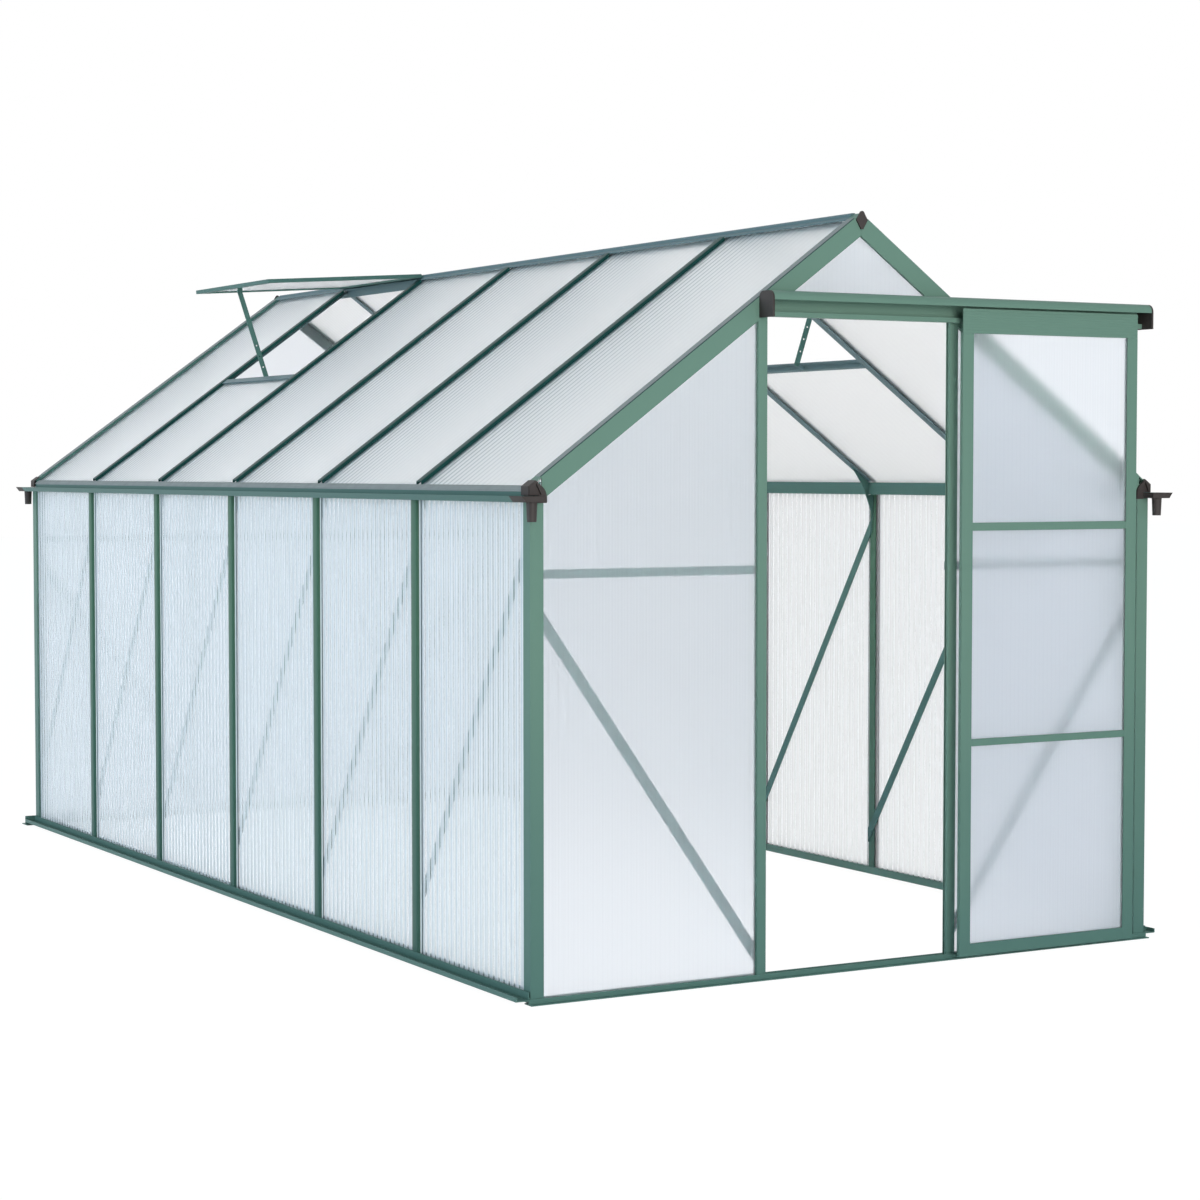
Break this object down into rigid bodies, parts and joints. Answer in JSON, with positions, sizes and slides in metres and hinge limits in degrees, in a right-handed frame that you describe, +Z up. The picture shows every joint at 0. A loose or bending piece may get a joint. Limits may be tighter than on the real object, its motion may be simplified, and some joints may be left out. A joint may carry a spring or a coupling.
{
  "type": "greenhouse",
  "caption": "Green aluminium greenhouse with fluted clear panes, a gable roof, opening roof vents and a sliding door hung on a hooded track.",
  "frame": {"origin": "bottom centre of the bounding box, on the ground under the middle of the building", "axes": "+Z up; +Y along the ridge from the door gable to the rear gable, the longest way; +X to the right as seen from in front of the door"},
  "size_m": [1.926, 3.765, 1.865],
  "materials": {
    "green_frame": "satin powder coat",
    "twin_wall_pane": "clear fluted twin-wall sheet",
    "dark_plastic": "moulded, matt"
  },
  "bodies": {
    "frame": {"sill_front": "green_frame", "sill_rear": "green_frame", "sill_left": "green_frame", "sill_right": "green_frame", "corner_post_front_left": "green_frame", "corner_post_front_right": "green_frame", "gutter_left": "green_frame", "gutter_right": "green_frame", "rafter_front_left": "green_frame", "rafter_front_right": "green_frame", "ridge": "green_frame", "door_track": "green_frame", "gutter_cap_front_left": "dark_plastic", "gutter_cap_front_right": "dark_plastic", "gutter_cap_rear_left": "dark_plastic", "gutter_cap_rear_right": "dark_plastic", "ridge_cap_front": "dark_plastic", "ridge_cap_rear": "dark_plastic", "track_cap_left": "dark_plastic", "track_cap_right": "dark_plastic", "corner_post_rear_left": "twin_wall_pane", "corner_post_rear_right": "twin_wall_pane", "wall_bar_left_1": "twin_wall_pane", "wall_bar_left_2": "twin_wall_pane", "wall_bar_left_3": "twin_wall_pane", "wall_bar_left_4": "twin_wall_pane", "wall_bar_left_5": "twin_wall_pane", "wall_bar_right_1": "twin_wall_pane", "wall_bar_right_2": "twin_wall_pane", "wall_bar_right_3": "twin_wall_pane", "wall_bar_right_4": "twin_wall_pane", "wall_bar_right_5": "twin_wall_pane", "roof_bar_left_1": "twin_wall_pane", "roof_bar_left_2": "twin_wall_pane", "roof_bar_left_3": "twin_wall_pane", "roof_bar_left_4": "twin_wall_pane", "roof_bar_left_5": "twin_wall_pane", "roof_bar_right_1": "twin_wall_pane", "roof_bar_right_2": "twin_wall_pane", "roof_bar_right_3": "twin_wall_pane", "roof_bar_right_4": "twin_wall_pane", "roof_bar_right_5": "twin_wall_pane", "rafter_rear_left": "twin_wall_pane", "rafter_rear_right": "twin_wall_pane", "door_jamb_left": "twin_wall_pane", "door_jamb_right": "twin_wall_pane", "rear_stud_left": "twin_wall_pane", "rear_stud_right": "twin_wall_pane"},
    "door": {"door_hanger_rail": "green_frame", "door_stile_left": "green_frame", "door_stile_right": "green_frame", "door_rail_bottom": "twin_wall_pane", "door_rail_lower": "twin_wall_pane", "door_rail_upper": "twin_wall_pane"},
    "door_wheel_left": {"door_wheel_left": "dark_plastic"},
    "door_wheel_right": {"door_wheel_right": "dark_plastic"},
    "vent_left": {"vent_leaf_left": "twin_wall_pane"},
    "vent_left_stay": {"vent_stay_left": "green_frame"},
    "vent_right": {"vent_leaf_right": "twin_wall_pane"},
    "vent_right_stay": {"vent_stay_right": "green_frame"}
  },
  "joints": [
    {"name": "door_slide", "type": "slide", "parent": "frame", "child": "door", "axis": [1, 0, 0], "range_m": [-0.55, 0.035]},
    {"name": "door_wheel_left_spin", "type": "hinge", "parent": "door", "child": "door_wheel_left", "pos_m": [0.33453, -1.84325, 1.6215], "axis": [0, 1, 0], "continuous": true},
    {"name": "door_wheel_right_spin", "type": "hinge", "parent": "door", "child": "door_wheel_right", "pos_m": [0.7746, -1.84325, 1.6215], "axis": [0, 1, 0], "continuous": true},
    {"name": "vent_left_hinge", "type": "hinge", "parent": "frame", "child": "vent_left", "pos_m": [-0.0127, 0.9225, 1.85662], "axis": [0, 1, 0], "range_deg": [-32.1, 0]},
    {"name": "vent_left_stay_pivot", "type": "hinge", "parent": "vent_left", "child": "vent_left_stay", "pos_m": [-0.5157, 0.9225, 1.8096], "axis": [0, 1, 0], "range_deg": [-1, 17]},
    {"name": "vent_right_hinge", "type": "hinge", "parent": "frame", "child": "vent_right", "pos_m": [0.0127, -0.9075, 1.85662], "axis": [0, -1, 0], "range_deg": [-32.1, 0]},
    {"name": "vent_right_stay_pivot", "type": "hinge", "parent": "vent_right", "child": "vent_right_stay", "pos_m": [0.5157, -0.9075, 1.8096], "axis": [0, -1, 0], "range_deg": [-1, 17]}
  ],
  "couplings": [
    {"joint": "door_wheel_left_spin", "follows": "door_slide", "rad_per_m": 108.7},
    {"joint": "door_wheel_right_spin", "follows": "door_slide", "rad_per_m": 108.7},
    {"joint": "vent_left_stay_pivot", "follows": "vent_left_hinge", "ratio": -0.5},
    {"joint": "vent_right_stay_pivot", "follows": "vent_right_hinge", "ratio": -0.5}
  ]
}
